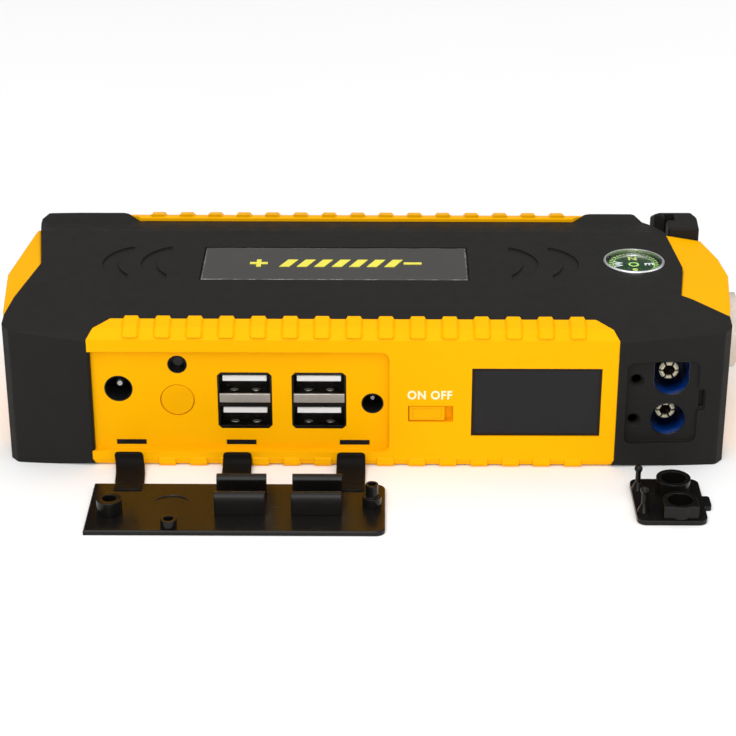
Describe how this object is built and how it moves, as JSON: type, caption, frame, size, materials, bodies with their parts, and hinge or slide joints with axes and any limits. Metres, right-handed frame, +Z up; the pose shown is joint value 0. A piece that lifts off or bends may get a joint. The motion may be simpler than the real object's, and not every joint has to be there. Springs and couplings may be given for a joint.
{
  "type": "jump starter pack",
  "caption": "Portable car jump starter: black and yellow case with ports under rubber covers, power socket, display, switch, compass, torch and belt cutter.",
  "frame": {"origin": "centre of the underside of the case", "axes": "+Z up, X along the length with the torch at +X, -Y towards the ports"},
  "size_m": [0.1905, 0.1129, 0.0396],
  "materials": {
    "black_shell": "soft-touch satin black",
    "yellow_panel": "satin moulded yellow",
    "yellow_button": "satin moulded yellow",
    "blade_steel": "ground edge",
    "screw_steel": "plated",
    "plate_grey": "dark grey satin",
    "gold_mark": "gold foil",
    "black_gloss": "glossy black",
    "chrome_ring": "bright plated",
    "clear_dome": "clear",
    "compass_dial": "printed green dial",
    "clear_lens": "clear",
    "mirror_bowl": "bright",
    "board_green": "solder mask",
    "lamp_white": "diffuse",
    "usb_steel": "drawn steel",
    "usb_black": "black nickel plated",
    "smoked_lens": "smoked lens",
    "white_plastic": "white moulding",
    "gold_contact": "gold flash",
    "display_glass": "dark glossy window",
    "blue_plastic": "glossy blue",
    "brass_pin": "gold-plated brass",
    "cell_foil": "pouch foil",
    "foam": "foam",
    "black_rubber": "glossy moulded rubber"
  },
  "bodies": {
    "case": {"bottom_shell": "black_shell", "top_shell": "black_shell", "front_panel": "yellow_panel", "back_panel": "yellow_panel", "left_end_panel": "yellow_panel", "right_end_panel": "yellow_panel", "belt_cutter_hook": "black_shell", "belt_cutter_blade": "blade_steel", "case_screws": "screw_steel", "name_plate": "plate_grey", "plate_marks": "gold_mark", "compass_cup": "black_gloss", "compass_ring": "chrome_ring", "compass_dome": "clear_dome", "compass_point": "screw_steel", "torch_lens": "clear_lens", "torch_reflector": "mirror_bowl", "torch_board": "board_green", "torch_lamp": "lamp_white", "usb_shells": "usb_black", "usb_bars": "usb_steel", "usb_tongues": "white_plastic", "usb_contacts": "gold_contact", "charge_socket": "black_gloss", "charge_socket_pin": "screw_steel", "output_socket": "black_gloss", "output_socket_pin": "screw_steel", "button_switch": "black_gloss", "switch_body": "black_gloss", "display_window": "display_glass", "display_module": "white_plastic", "status_light": "smoked_lens", "light_sleeve": "black_gloss", "slot_liners": "black_gloss", "socket_housing": "blue_plastic", "socket_pins": "brass_pin", "battery_cells": "cell_foil", "cell_pads": "foam", "cell_tabs": "screw_steel", "battery_board": "board_green", "main_board": "board_green", "board_links": "brass_pin", "copper_bars": "brass_pin", "port_cover_straps": "black_rubber"},
    "compass": {"compass_card": "compass_dial"},
    "button": {"round_button": "yellow_button"},
    "knob": {"switch_knob": "yellow_button"},
    "port_lid": {"port_cover": "black_rubber", "port_cover_plugs": "black_rubber"},
    "socket_lid": {"socket_cover": "black_rubber", "socket_cover_plugs": "black_rubber", "socket_cover_tails": "black_rubber"}
  },
  "joints": [
    {"name": "port_cover_hinge", "type": "hinge", "parent": "case", "child": "port_lid", "pos_m": [0, -0.0414, -0.0024], "axis": [-1, 0, 0], "range_deg": [0, 90], "deforming": ["port_cover_straps", "port_cover_plugs"]},
    {"name": "socket_cover_hinge", "type": "hinge", "parent": "case", "child": "socket_lid", "pos_m": [0, -0.0394, -0.0008], "axis": [-1, 0, 0], "range_deg": [0, 90], "deforming": ["socket_cover_plugs", "socket_cover_tails"]},
    {"name": "power_switch_slide", "type": "slide", "parent": "case", "child": "knob", "axis": [1, 0, 0], "range_m": [0, 0.0018]},
    {"name": "button_press", "type": "slide", "parent": "case", "child": "button", "axis": [0, 1, 0], "range_m": [0, 0.0008], "stiffness_N_per_m": 300, "springref_m": -0.0003},
    {"name": "compass_turn", "type": "hinge", "parent": "case", "child": "compass", "pos_m": [0.0687, 0.0015, 0.03685], "axis": [0, 0, 1], "continuous": true}
  ]
}
